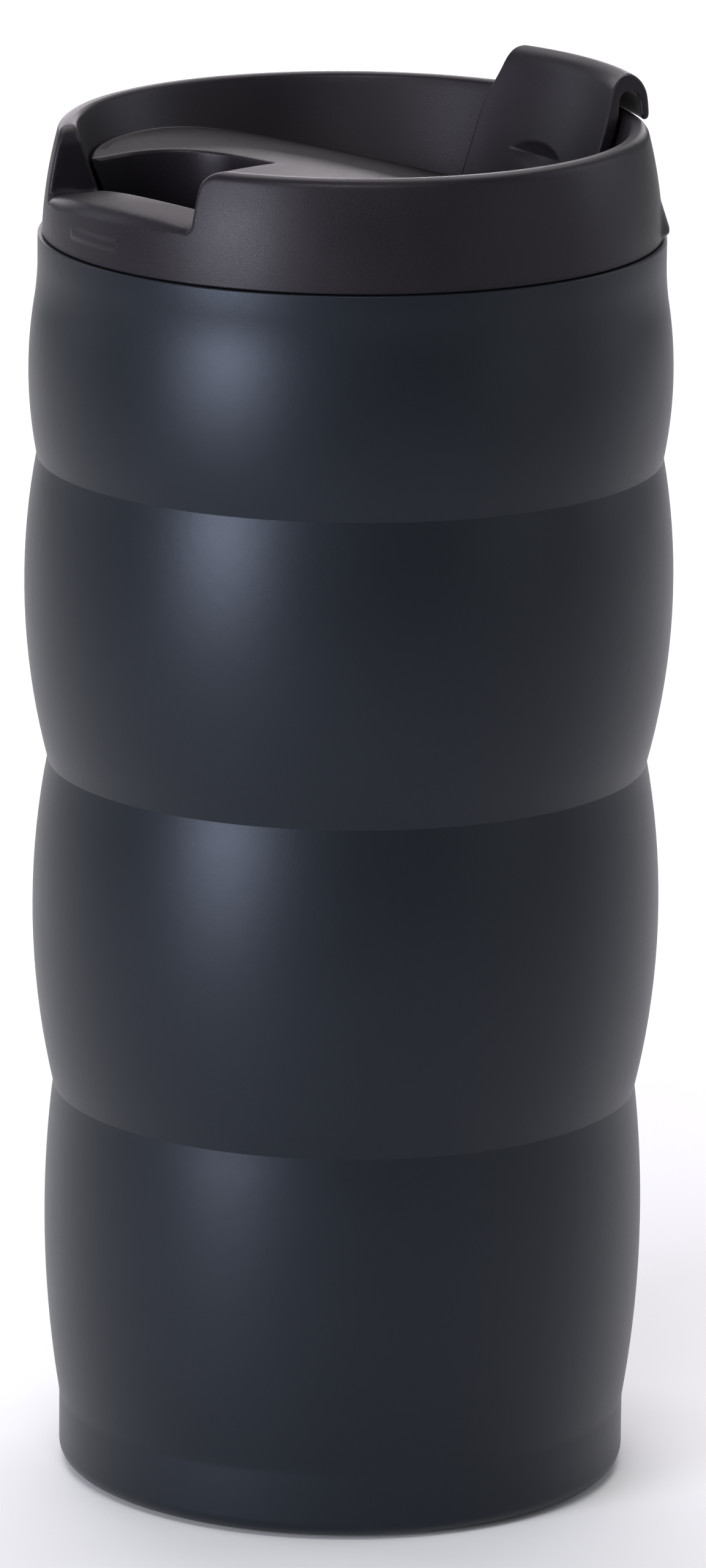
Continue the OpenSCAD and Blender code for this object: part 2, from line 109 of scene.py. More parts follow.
# the notch, and the sill's (radius, depth under the crown) outside and inside
NOTCH_HALF = 14.4
NOTCH_FLARE = 2.0
SILL_OUT = (SKIRT_R + 1, 7.5)
SILL_IN = (28.88, 4.9)
SILL_BULGE = 0.7
# how far it falls to the left cheek, at its inner and outer faces, and its rise at the highest point
SILL_FALL = (3.0, 1.5)
SILL_RISE = 0.05
# its highest point lies this far to the right of the notch's middle
SILL_SIDE = 4.5
# the visible gap between lid and cup
SEAM = 0.08

# the gap round the dial, and the least and greatest depth, slope and bend of the dial's top
DIAL_GAP = 0.45
RAMP_HIGH = 3.95
RAMP_LOW = 10.9
RAMP_SLOPE = 0.25
RAMP_TURN = 4.0

# the well's edge: round end, tip, near side and bend, with the directions of its sides in degrees
WELL_END = Vector((-7.4, -18.4))
WELL_END_R = 8.65
WELL_TIP = Vector((-3.9, -9.15))
WELL_TIP_R = 0.6
WELL_NEAR_RUN = 6.2
WELL_BEND_R = 11.0
WELL_LEFT, WELL_NEAR, WELL_RIGHT = 192.0, 14.0, 70.0

# the hook: half of its width, how much a side draws in, and its height over the rim's crown
HOOK_HALF = 12.2
HOOK_TAPER = 1.3
HOOK_TOP = 4.55
# its leg: thickness at the foot, and how far the inner face leans out for each millimetre up
LEG_FOOT_T = 1.4
LEG_LEAN = 0.3185
# the scoop in the leg, with the place of its middle: under the crown, and to the side
SCOOP_WIDE, SCOOP_TALL, SCOOP_DEEP = 7.2, 2.8, 0.65
SCOOP_DROP = 6.8
SCOOP_SIDE = -1.7

SEGMENTS = 216


# ---------------------------------------------------------------- small geometry


def lerp(a, b, t):
    """The place t of the way from a to b."""
    return a + (b - a) * t


def smoothstep(t):
    """0 up to t = 0, 1 from t = 1, and a smooth rise between."""
    t = min(1.0, max(0.0, t))
    return t * t * (3 - 2 * t)


def steps(a, b, n):
    """n + 1 even steps from a to b."""
    return [lerp(a, b, i / n) for i in range(n + 1)]


def bulged(a, b, bulge, n):
    """Points of an arc from a to b that stands bulge proud of its chord, on the right of the way."""
    run = Vector(b) - Vector(a)
    length = run.length
    run /= length
    side = Vector((run.y, -run.x))
    r = (length * length / 4 + bulge * bulge) / (2 * bulge)
    half = math.asin(length / 2 / r)
    centre = (Vector(a) + Vector(b)) / 2 + side * (bulge - r)
    return [centre + r * (side * math.cos(t) + run * math.sin(t)) for t in steps(-half, half, n)]


def circles_meet(a, ra, b, rb):
    """The meeting point, on the greater radius, of two circles in the (r, z) plane."""
    gap = b - a
    d = gap.length
    u = gap / d
    along = (d * d + ra * ra - rb * rb) / (2 * d)
    return a + u * along + Vector((-u.y, u.x)) * math.sqrt(ra * ra - along * along)


def turned(centre, p, q, n):
    """Points from p to q on the circle about centre, by the short way."""
    start = math.atan2(p.y - centre.y, p.x - centre.x)
    end = math.atan2(q.y - centre.y, q.x - centre.x)
    end += math.tau * round((start - end) / math.tau)
    r = (p - centre).length
    return [centre + r * Vector((math.cos(t), math.sin(t))) for t in steps(start, end, n)]


def height_on(line, r):
    """z at radius r on a polyline of (r, z) points."""
    for p, q in zip(line, line[1:]):
        if min(p[0], q[0]) <= r <= max(p[0], q[0]):
            return lerp(p[1], q[1], (r - p[0]) / (q[0] - p[0]))
    return line[0][1] if abs(r - line[0][0]) < abs(r - line[-1][0]) else line[-1][1]


def radius_on(line, z):
    """r at height z on a polyline of (r, z) points that rises all the way."""
    for p, q in zip(line, line[1:]):
        if p[1] <= z <= q[1]:
            return lerp(p[0], q[0], (z - p[1]) / (q[1] - p[1]))
    p, q = (line[0], line[1]) if z < line[0][1] else (line[-2], line[-1])
    return lerp(p[0], q[0], (z - p[1]) / (q[1] - p[1]))


# ---------------------------------------------------------------- meshes


def mesh_object(name, points, faces):
    """A smooth-shaded mesh object from points in millimetres."""
    mesh = bpy.data.meshes.new(name)
    mesh.from_pydata([Vector(p) * MM for p in points], [], faces)
    mesh.validate()
    shape = bmesh.new()
    shape.from_mesh(mesh)
    bmesh.ops.recalc_face_normals(shape, faces=shape.faces)
    shape.to_mesh(mesh)
    shape.free()
    mesh.polygons.foreach_set("use_smooth", [True] * len(mesh.polygons))
    obj = bpy.data.objects.new(name, mesh)
    bpy.context.collection.objects.link(obj)
    return obj


def skin(name, rows, closed, caps=False):
    """One skin over rows of points. Each row is a closed loop; the rows close on themselves or have caps."""
    n, m = len(rows), len(rows[0])
    points = [p for row in rows for p in row]
    faces = []
    for j in range(n if closed else n - 1):
        for k in range(m):
            a, b = j * m + k, j * m + (k + 1) % m
            c, d = (j + 1) % n * m + (k + 1) % m, (j + 1) % n * m + k
            faces.append((a, b, c, d))
    if caps:
        for first in (0, (n - 1) * m):
            ring = [Vector(p) for p in points[first : first + m]]
            faces += [tuple(first + k for k in corner) for corner in tessellate_polygon([ring])]
    return mesh_object(name, points, faces)


def turned_piece(name, loop):
    """Revolves a closed loop of (r, z) points about the axis. The loop runs anticlockwise."""
    rows = []
    for j in range(SEGMENTS):
        a = math.tau * j / SEGMENTS
        rows.append([(r * math.sin(a), -r * math.cos(a), z) for r, z in loop])
    return skin(name, rows, closed=True)


def finish_piece(obj, body, material_slot, *replaced):
    """Gives a piece its material, the body that it rides on and the CAD nodes that it replaces."""
    obj.data.materials.clear()
    obj.data.materials.append(MATERIALS[material_slot])
    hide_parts(*replaced)
    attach(obj, body)
    return obj


# ---------------------------------------------------------------- materials


# noise stays mostly between these two values
NOISE_LOW, NOISE_HIGH = 0.3, 0.7
# the size of the broad patches in colour and roughness, and their share against the grain's
PATCH_SIZE, PATCH_SHARE = 12, 0.35


def material(
    name, colour, second, roughness, grain_size, grain_depth, metallic=0.0, specular=0.5,
    stretch=(1, 1, 1), spread=0.06, wave_depth=0.0, wave_size=2.0, tint=(1, 1, 1),
):
    """A surface with grain: fine bumps, grain_size mm across, and colour and roughness that vary."""
    m = bpy.data.materials.new(name)
    m.use_nodes = True
    tree = m.node_tree
    add, link = tree.nodes.new, tree.links.new
    shader = tree.nodes["Principled BSDF"]
    shader.inputs["Metallic"].default_value = metallic
    shader.inputs["Specular IOR Level"].default_value = specular
    shader.inputs["Specular Tint"].default_value = (*tint, 1)

    place = add("ShaderNodeTexCoord")
    scale = add("ShaderNodeMapping")
    scale.inputs["Scale"].default_value = stretch
    link(place.outputs["Object"], scale.inputs["Vector"])

    grain = add("ShaderNodeTexNoise")
    grain.inputs["Scale"].default_value = 1 / (grain_size * MM)
    grain.inputs["Detail"].default_value = 3.0
    grain.inputs["Roughness"].default_value = 0.6
    link(scale.outputs["Vector"], grain.inputs["Vector"])

    patches = add("ShaderNodeTexNoise")
    patches.inputs["Scale"].default_value = 1 / (PATCH_SIZE * MM)
    patches.inputs["Detail"].default_value = 2.0
    link(place.outputs["Object"], patches.inputs["Vector"])

    both = add("ShaderNodeMix")
    both.data_type = "FLOAT"
    both.inputs[0].default_value = PATCH_SHARE
    link(grain.outputs["Fac"], both.inputs[2])
    link(patches.outputs["Fac"], both.inputs[3])

    shade = add("ShaderNodeValToRGB")
    shade.color_ramp.elements[0].position = NOISE_LOW
    shade.color_ramp.elements[0].color = (*colour, 1)
    shade.color_ramp.elements[1].position = NOISE_HIGH
    shade.color_ramp.elements[1].color = (*second, 1)
    link(both.outputs[0], shade.inputs["Fac"])
    link(shade.outputs["Color"], shader.inputs["Base Color"])

    rough = add("ShaderNodeMapRange")
    rough.inputs["From Min"].default_value = NOISE_LOW
    rough.inputs["From Max"].default_value = NOISE_HIGH
    rough.inputs["To Min"].default_value = roughness - spread
    rough.inputs["To Max"].default_value = roughness + spread
    link(both.outputs[0], rough.inputs["Value"])
    link(rough.outputs["Result"], shader.inputs["Roughness"])

    bump = add("ShaderNodeBump")
    bump.inputs["Strength"].default_value = 1.0
    bump.inputs["Distance"].default_value = grain_depth * MM
    link(grain.outputs["Fac"], bump.inputs["Height"])
    if wave_depth:
        wave = add("ShaderNodeTexNoise")
        wave.inputs["Scale"].default_value = 1 / (wave_size * MM)
        wave.inputs["Detail"].default_value = 1.0
        link(place.outputs["Object"], wave.inputs["Vector"])
        peel = add("ShaderNodeBump")
        peel.inputs["Distance"].default_value = wave_depth * MM
        link(wave.outputs["Fac"], peel.inputs["Height"])
        link(peel.outputs["Normal"], bump.inputs["Normal"])
    link(bump.outputs["Normal"], shader.inputs["Normal"])
    return m


def lid_material(name):
    """The charcoal plastic of the lid and the dial, with a fine moulded grain."""
    return material(
        name, (0.0058, 0.0048, 0.0064), (0.0110, 0.0094, 0.0118), 0.39,
        0.13, 0.018, specular=0.21, spread=0.11, tint=(1.0, 0.94, 1.0),
    )


MATERIALS = {
    "painted_steel": material(
        "painted_steel", (0.0050, 0.0064, 0.0080), (0.0066, 0.0084, 0.0106), 0.39,
        0.16, 0.008, specular=0.27, spread=0.03, wave_depth=0.010, wave_size=1.6, tint=(0.76, 0.83, 1.0),
    ),
    "lid_plastic": lid_material("lid_plastic"),
    "dial_plastic": lid_material("dial_plastic"),
    "plug_plastic": material(
        "plug_plastic", (0.0140, 0.0125, 0.0135), (0.0195, 0.0175, 0.0185), 0.45,
        0.20, 0.015, specular=0.45,
    ),
    "gasket_silicone": material(
        "gasket_silicone", (0.090, 0.086, 0.088), (0.110, 0.106, 0.108), 0.60,
        0.35, 0.010, specular=0.4,
    ),
    "pad_silicone": material(
        "pad_silicone", (0.030, 0.029, 0.031), (0.042, 0.040, 0.043), 0.75,
        0.40, 0.040, specular=0.35,
    ),
    "bare_steel": material(
        "bare_steel", (0.50, 0.50, 0.51), (0.62, 0.62, 0.63), 0.30,
        1.10, 0.004, metallic=1.0, stretch=(1, 1, 14), spread=0.08,
    ),
    "spring_steel": material(
        "spring_steel", (0.44, 0.44, 0.45), (0.56, 0.56, 0.57), 0.26,
        0.60, 0.004, metallic=1.0, stretch=(6, 1, 1),
    ),
    "foil": material(
        "foil", (0.72, 0.46, 0.30), (0.84, 0.56, 0.38), 0.22,
        2.20, 0.060, metallic=1.0, spread=0.05,
    ),
    "getter_metal": material(
        "getter_metal", (0.15, 0.15, 0.16), (0.24, 0.24, 0.25), 0.55,
        0.30, 0.030, metallic=1.0,
    ),
    "solder": material(
        "solder", (0.46, 0.46, 0.47), (0.58, 0.58, 0.59), 0.35,
        0.90, 0.030, metallic=1.0,
    ),
}

# the CAD's own nodes that stay in view, each with its material
SLOTS = {
    "inner_liner": "bare_steel",
    "base_cap": "bare_steel",
    "heat_shield": "foil",
    "vacuum_getter": "getter_metal",
    "vacuum_seal": "solder",
    "lid_plug": "plug_plastic",
    "plug_cover": "plug_plastic",
    "lid_gasket": "gasket_silicone",
    "dial_base": "dial_plastic",
    "dial_seal": "gasket_silicone",
    "pivot_oring": "gasket_silicone",
    "wave_spring": "spring_steel",
    "stop_plate": "bare_steel",
    "pivot_screw": "bare_steel",
}
for node_name, slot_name in SLOTS.items():
    nodes[node_name].data.materials.clear()
    nodes[node_name].data.materials.append(MATERIALS[slot_name])


# ---------------------------------------------------------------- cup


def tier_centre(i):
    """Centre of tier i's arc, as (r, z)."""
    r, z, arc = TIERS[i]
    return Vector((r - arc, z))


def cove_centre(i, band_r, cove, side):
    """Centre of the hollow curve between tier i and a straight band; side is 1 over the tier, -1 under it."""
    reach = TIERS[i][2] + cove
    level = band_r + cove - tier_centre(i).x
    return Vector((band_r + cove, TIERS[i][1] + side * math.sqrt(reach * reach - level * level)))


def quarter(centre, r, start, n):
    """Points of a quarter circle in the (r, z) plane, anticlockwise from the angle start."""
    return [centre + r * Vector((math.cos(t), math.sin(t))) for t in steps(start, start + math.pi / 2, n)]


def cup_line():
    """The cup's outer line from the foot's curl to the mouth, with a small fillet in each crease."""
    tier_steps, cove_steps, fillet_steps, edge_steps = 18, 10, 5, 6
    corner = Vector((FOOT_R - FOOT_ROUND, CURL_Z + FOOT_ROUND))
    line = quarter(corner, FOOT_ROUND, -math.pi / 2, cove_steps)
    low = cove_centre(3, FOOT_R, FOOT_COVE, -1)
    meet = low + (tier_centre(3) - low).normalized() * FOOT_COVE
    line += turned(low, Vector((FOOT_R, low.y)), meet, cove_steps)
    start = meet
    for i in (3, 2, 1, 0):
        if i > 0:
            fillet = circles_meet(
                tier_centre(i - 1), TIERS[i - 1][2] + CREASE_ROUND,
                tier_centre(i), TIERS[i][2] + CREASE_ROUND,
            )
            end = fillet + (tier_centre(i) - fillet).normalized() * CREASE_ROUND
            after = fillet + (tier_centre(i - 1) - fillet).normalized() * CREASE_ROUND
            line += turned(tier_centre(i), start, end, tier_steps)[1:]
            line += turned(fillet, end, after, fillet_steps)[1:]
            start = after
        else:
            high = cove_centre(0, MOUTH_R, MOUTH_COVE, 1)
            end = high + (tier_centre(0) - high).normalized() * MOUTH_COVE
            line += turned(tier_centre(0), start, end, tier_steps)[1:]
            line += turned(high, end, Vector((MOUTH_R, high.y)), cove_steps)[1:]
    lip = Vector((MOUTH_R - MOUTH_ROUND, CUP_H - MOUTH_ROUND))
    return line + quarter(lip, MOUTH_ROUND, 0, edge_steps)


def build_cup():
    """The painted sheet of the outer wall, with its thickness."""
    outer = cup_line()
    # the sheet's inner side: every other point between the rounded edges, moved in square to the line
    past_mouth, past_foot = 9, 5
    inner = []
    for i in range(len(outer) - past_mouth, past_foot, -2):
        run = (outer[i + 1] - outer[i - 1]).normalized()
        inner.append(outer[i] + Vector((-run.y, run.x)) * STEEL_T)
    under_mouth, over_curl = CUP_H - STEEL_T, CURL_Z + STEEL_T
    top = [Vector((LIP_R, CUP_H)), Vector((LIP_R, under_mouth)), Vector((MOUTH_R - STEEL_T, under_mouth))]
    foot = [Vector((FOOT_R - FOOT_ROUND, over_curl)), Vector((CURL_R, over_curl)), Vector((CURL_R, CURL_Z))]
    shell = turned_piece("cup_shell", outer + top + inner + foot)
    return finish_piece(shell, "cup", "painted_steel", "outer_shell")


def build_pad():
    """The silicone foot pad, with a rounded rim and a shallow ring on its underside."""
    lo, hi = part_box("base_pad")
    r, low, high = hi.x / MM, lo.z / MM, hi.z / MM
    middle, dish_h, dish_r, ring_r = 0.02, 0.25, r - 9, r - 8.4
    ease, bevel = 0.5, 0.2
    hollow_r, hollow_z = r - 6, low + 1.2
    corner = Vector((r - ease, low + ease))
    loop = [Vector((middle, low + dish_h)), Vector((dish_r, low + dish_h)), Vector((ring_r, low))]
    loop += quarter(corner, ease, -math.pi / 2, 6)
    loop += [Vector((r, high - bevel)), Vector((r - bevel, high)), Vector((hollow_r, high))]
    loop += [Vector((hollow_r, hollow_z)), Vector((middle, hollow_z))]
    return finish_piece(turned_piece("foot_pad", loop), "cup", "pad_silicone", "base_pad")


# ---------------------------------------------------------------- lid rim

SKIRT_LINE = bulged((SKIRT_R, SKIRT_Z), (CROWN_R, RIM_Z - CROWN_SIDE), SKIRT_BULGE, 24)
SILL_LINE = bulged(
    (SILL_OUT[0], RIM_Z - SILL_OUT[1]), (SILL_IN[0], RIM_Z - SILL_IN[1]), SILL_BULGE, 24
)
# The rim is made of columns. Their number s is the way along the middle radius from the notch's middle:
# up to PLANE_S the columns are upright planes x = s, and the last one, at the back, is BACK_S
MID_R = 33.0
PLANE_S = NOTCH_HALF + NOTCH_FLARE
BACK_S = PLANE_S + MID_R * (math.pi - math.asin(PLANE_S / MID_R))
# the lip at the back: its line of (r, z) points, from its foot to where it fades out
LIFT_LOW = SKIRT_Z + 0.2
LIFT_PROUD = 0.75
LIFT_EDGE = 0.4
LIFT_TOP = Vector((SKIRT_R - 0.45, SKIRT_Z + 4.3))
LIFT_LINE = [
    Vector((SKIRT_R + LIFT_PROUD - LIFT_EDGE * (1 - math.cos(t)), LIFT_LOW + LIFT_EDGE * (1 + math.sin(t))))
    for t in steps(-math.pi / 2, 0, 6)
] + [LIFT_TOP]


def bowl_wall(z):
    """Radius of the bowl's wall at the height z."""
    return BOWL_R - BOWL_LEAN * (RIM_Z - z)


def azimuth(s, r):
    """Angle from -Y of the column s at radius r: a plane x = s at the notch, turning radial behind it."""
    if s <= PLANE_S:
        return math.asin(s / r)
    turn_run = 20
    plane = 1 - smoothstep((s - PLANE_S) / turn_run)
    return lerp(math.asin(PLANE_S / MID_R), math.asin(PLANE_S / r), plane) + (s - PLANE_S) / MID_R


def front_pad(a, r, z):
    """How far the small pad under the notch stands proud."""
    half_w, half_h, corner, edge, proud, drop = 5.1, 0.9, 0.7, 0.7, 0.11, 9.75
    across = abs(a * r) - half_w + corner
    up = abs(z - (RIM_Z - drop)) - half_h + corner
    away = math.hypot(max(across, 0), max(up, 0)) + min(max(across, up), 0) - corner
    return proud * smoothstep(-away / edge)


def lift_lip(a, r, z):
    """How far the lip at the back, for lifting the lid off, stands proud of the skirt."""
    half, fade = math.radians(40), math.radians(1.6)
    off = math.pi - abs(a)
    if off > half or not LIFT_LOW < z < LIFT_TOP.y:
        return 0.0
    return max(0.0, radius_on(LIFT_LINE, z) - r) * smoothstep((half - off) / fade)


def sill_z(x, r):
    """The sill's height: the revolved line, highest to the right of the middle and falling to the cheeks."""
    inner_r, run = 30, 4.5
    fall = lerp(*SILL_FALL, smoothstep((r - inner_r) / run))
    return height_on(SILL_LINE, r) + SILL_RISE - fall * ((x - SILL_SIDE) / (NOTCH_HALF + SILL_SIDE)) ** 2


def rim_columns(side):
    """The rim's top line on one side, as columns: (s, lift(r), normal, s at the foot, edge roundings).

    lift(r) is the top's height at the radius r, and the roundings are those of its outer and inner edge.
    """
    cheek_x = side * NOTCH_HALF
    # the hollow corner between sill and cheek
    concave = 0.7
    sill_round, cheek_round, crown_round = (1.0, 0.55), (0.6, 0.5), (0.9, 0.5)
    # the columns stand closer where the pad under the notch is
    pad_s = 6.5
    near_cheek, run = 9, 4.5
    cols = []
    for s in steps(0, pad_s, 44) + steps(pad_s, NOTCH_HALF - concave, 16)[1:]:
        soft = smoothstep((s - near_cheek) / run)
        rounds = tuple(lerp(a, b, soft) for a, b in zip(sill_round, cheek_round))
        cols.append((s, lambda r, s=s: sill_z(side * s, r), (0, 1), s, rounds))
    cheek = []
    for t in steps(0, math.pi / 2, 8)[1:]:
        rise = concave * (1 - math.cos(t))
        cheek.append((
            NOTCH_HALF - concave + concave * math.sin(t),
            lambda r, rise=rise: sill_z(cheek_x, r) + rise,
            (-math.sin(t), math.cos(t)),
        ))
    corner_z = RIM_Z - NOTCH_FLARE
    for t in steps(0, 1, 12)[1:]:
        cheek.append((NOTCH_HALF, lambda r, t=t: lerp(sill_z(cheek_x, r) + concave, corner_z, t), (-1, 0)))
    for t in steps(0, math.pi / 2, 12)[1:]:
        z = corner_z + NOTCH_FLARE * math.sin(t)
        s = NOTCH_HALF + NOTCH_FLARE * (1 - math.cos(t))
        cheek.append((s, lambda r, z=z: z, (-math.cos(t), math.sin(t))))
    # the cheek's columns spread at the foot, and the ones behind it make way and fall back into step
    spread, fade = 2.0, 6
    first, last = NOTCH_HALF - concave, PLANE_S + spread
    soft_from = 0.55
    for i, (s, lift, normal) in enumerate(cheek):
        t = (i + 1) / len(cheek)
        soft = smoothstep((t - soft_from) / (1 - soft_from))
        rounds = tuple(lerp(a, b, soft) for a, b in zip(cheek_round, crown_round))
        cols.append((s, lift, normal, lerp(first, last, t), rounds))
    for s in steps(PLANE_S, BACK_S, 96)[1:]:
        past = s - PLANE_S
        low = s + spread * math.exp(-past / fade) * (1 - past / (BACK_S - PLANE_S))
        cols.append((s, lambda r: RIM_Z, (0, 1), low, crown_round))
    return cols


def rim_row(column, side):
    """The rim's closed section at one column, on the side +1 or -1."""
    s, lift, normal, low_s, (round_out, round_in) = column
    n = Vector(normal)
    foot_round = 0.1
    foot_z = CUP_H + SEAM

    def place(ps, r, z):
        a = azimuth(ps, r)
        return (side * r * math.sin(a), -r * math.cos(a), z)

    def skirt(ps, z):
        r = radius_on(SKIRT_LINE, z)
        a = azimuth(min(ps, BACK_S), r)
        return r + front_pad(a, r, z) + lift_lip(a, r, z)

    # rough radii of the top's outer and inner edges, which give their heights and so their true radii
    rough_out, rough_in = 34.5, 31.0
    out_r = radius_on(SKIRT_LINE, lift(rough_out))
    in_r = bowl_wall(lift(rough_in))
    row = []
    top = Vector((s, lift(out_r))) - round_out * n
    # behind the notch the rows crowd towards the foot, where the lip is
    crowd = 1 if s < NOTCH_HALF else 1.25
    for t in steps(0, 1, 44)[:-1]:
        t = t ** crowd
        ps, z = lerp(low_s, top.x, t), lerp(foot_z + foot_round, top.y, t)
        row.append(place(ps, skirt(ps, z), z))
    for a in steps(0, math.pi / 2, 7):
        inset = round_out * (1 - math.cos(a))
        base_z = lift(max(out_r - inset, in_r))
        p = Vector((s, base_z)) - round_out * (1 - math.sin(a)) * n
        row.append(place(p.x, skirt(p.x, min(p.y, RIM_Z)) - inset, p.y))
    edge_out = skirt(s, lift(out_r - round_out)) - round_out
    edge_in = bowl_wall(lift(in_r)) + round_in
    for t in steps(0, 1, 8)[1:-1]:
        r = lerp(edge_out, edge_in, t)
        row.append(place(s, r, lift(r)))
    for a in steps(math.pi / 2, 0, 6):
        inset = round_in * (1 - math.cos(a))
        base_z = lift(in_r + inset)
        p = Vector((s, base_z)) - round_in * (1 - math.sin(a)) * n
        row.append(place(p.x, bowl_wall(p.y) + inset, p.y))
    bottom = Vector((s, lift(in_r))) - round_in * n
    for t in steps(0, 1, 14)[1:]:
        ps, z = lerp(bottom.x, low_s, t), lerp(bottom.y, SKIRT_Z, t)
        row.append(place(ps, bowl_wall(z), z))
    for t in steps(0, 1, 4)[1:-1]:
        r = lerp(bowl_wall(SKIRT_Z), SKIRT_R - foot_round, t)
        row.append(place(low_s, r, lerp(SKIRT_Z, foot_z, t)))
    for t in (0.0, 0.5):
        z = foot_z + foot_round * (1 - math.cos(math.pi / 3 * t))
        row.append(place(low_s, SKIRT_R - foot_round * (1 - t), z))
    return row


def build_rim():
    """The lid's rim with the notch, its sill, the pad and the lip."""
    right = [rim_row(c, 1) for c in rim_columns(1)]
    left = [rim_row(c, -1) for c in rim_columns(-1)[1:-1]]
    rows = right + left[::-1]
    return finish_piece(skin("lid_shell", rows, closed=True), "lid", "lid_plastic", "lid_rim")


# ---------------------------------------------------------------- dial


def ramp_z(y):
    """Height of the dial's top: level towards the notch, a slope, and level again at its greatest depth."""
    depth = RAMP_HIGH + RAMP_SLOPE * RAMP_TURN * math.log1p(math.exp((RAMP_TURN + y) / RAMP_TURN))
    ease = 0.5
    if abs(depth - RAMP_LOW) > ease:
        return RIM_Z - min(depth, RAMP_LOW)
    return RIM_Z - depth + (depth - RAMP_LOW + ease) ** 2 / (4 * ease)


def ray(degrees):
    """The level direction at an angle from +X."""
    return Vector((math.cos(math.radians(degrees)), math.sin(math.radians(degrees))))


def on_circle(centre, r, start, end, n):
    """Points of a level circle from one direction to another, in degrees."""
    return [centre + r * ray(t) for t in steps(start, end, n)]


def well_line():
    """The well's edge from the left of the notch, over round end, tip and bend, to the right of it."""
    step = WELL_TIP - WELL_END
    back = math.degrees(math.atan2(step.y, step.x) + math.acos((WELL_END_R - WELL_TIP_R) / step.length))
    near = ray(WELL_NEAR)
    bend = WELL_TIP + near * (WELL_TIP_R + WELL_BEND_R) + WELL_NEAR_RUN * Vector((near.y, -near.x))
    left = on_circle(WELL_END, WELL_END_R, WELL_LEFT, back, 60)
    tip = on_circle(WELL_TIP, WELL_TIP_R, back, WELL_NEAR, 28)
    right = on_circle(bend, WELL_BEND_R, 180 + WELL_NEAR, 180 + WELL_RIGHT, 30)
    short_of_side = 0.35
    reach = bowl_wall(RIM_Z - RAMP_HIGH) - DIAL_GAP - short_of_side
    start = meet_side(left[0], ray(WELL_LEFT + 90), reach)
    end = meet_side(right[-1], ray(WELL_RIGHT - 90), reach)
    line = [start]
    for curve in (left, tip, right, [end]):
        line += [lerp(line[-1], curve[0], t) for t in steps(0, 1, 16)[1:-1]] + curve
    return line


def meet_side(p, way, r):
    """Where the line from p along way reaches the radius r."""
    along = p.dot(way)
    return p + way * (math.sqrt(along * along + r * r - p.length_squared) - along)


def side_angles(line):
    """The place on the dial's side, in degrees, of each point of the well's edge; bends count as length."""
    turn_share = 15.0
    walked = [0.0]
    for i in range(1, len(line)):
        run = line[i] - line[i - 1]
        before = line[i - 1] - line[i - 2] if i > 1 else run
        bend = max(0.0, -math.atan2(before.x * run.y - before.y * run.x, before.dot(run)))
        walked.append(walked[-1] + run.length + turn_share * bend)
    first = math.degrees(math.atan2(line[0].y, line[0].x)) % 360
    last = math.degrees(math.atan2(line[-1].y, line[-1].x))
    return [lerp(first, last, w / walked[-1]) for w in walked]


def edge_groove(inset):
    """Depth of the shallow groove that runs along the dial's side, at a distance in from it."""
    middle, half, depth = 1.25, 0.55, 0.16
    return depth * smoothstep(1 - abs(inset - middle) / half)


def dial_row(well, angle):
    """The dial's closed section from one point of the well's edge to its side at the given angle."""
    rough_r = 29
    out = ray(angle)
    out_xy = out * (bowl_wall(ramp_z(rough_r * out.y)) - DIAL_GAP)
    # where the well comes close to the leaning side, the section ends before the two would cross
    least_t = 0.06
    low_z = max(CAP_BASE_Z, RIM_Z - (BOWL_R - DIAL_GAP - well.length - least_t) / BOWL_LEAN)
    span = (out_xy - well).length
    tall = ramp_z(well.y) - low_z
    # edge rounding at the well and at the side, smaller where the section is narrow or low
    edge = max(0.03, min(0.5, 0.4 * span, 0.6 * tall))
    rim = max(0.02, min(0.45, 0.3 * span, 0.4 * tall))
    across = (out_xy - well).normalized()
    row = []
    for t in steps(0, 1, 8)[:-1]:
        row.append((well, lerp(low_z, ramp_z(well.y) - edge, t)))
    for t in steps(0, math.pi / 2, 7):
        p = well + across * edge * (1 - math.cos(t))
        row.append((p, ramp_z(p.y) - edge * (1 - math.sin(t))))
    # the points stand closer over the groove's band, and a narrow section has no groove
    band, groove_span = 2.4, 5
    near = max(rim, min(band, 0.5 * span))
    for inset in steps(span - edge, near, 18)[1:] + steps(near, rim, 16)[1:-1]:
        p = out_xy - across * inset
        row.append((p, ramp_z(p.y) - (edge_groove(inset) if span > groove_span else 0.0)))
    for t in steps(math.pi / 2, 0, 6):
        p = out_xy - across * rim * (1 - math.cos(t))
        row.append((p, ramp_z(p.y) - rim * (1 - math.sin(t))))
    for t in steps(0, 1, 8)[1:]:
        z = lerp(ramp_z(out_xy.y) - rim, low_z, t)
        row.append((out * (bowl_wall(z) - DIAL_GAP), z))
    return [(p.x, p.y, z) for p, z in row]


def build_dial():
    """The dial's disc, as sections that run from the well's edge to the disc's side."""
    line = well_line()
    rows = [dial_row(p, angle) for p, angle in zip(line, side_angles(line))]
    dial = skin("dial_shell", rows, closed=False, caps=True)
    return finish_piece(dial, "dial", "dial_plastic", "dial_cap")


# ---------------------------------------------------------------- hook


def hook_half(height):
    """Half of the hook's width at a height over the rim's crown: narrower upwards, with rounded corners."""
    corner = 0.5
    taper_low, taper_high = -3, 4
    over = min(1.0, max(0.0, height - (HOOK_TOP - corner)) / corner)
    taper = HOOK_TAPER * smoothstep((height - taper_low) / (taper_high - taper_low))
    return HOOK_HALF - taper - corner * (1 - math.sqrt(1 - over * over))


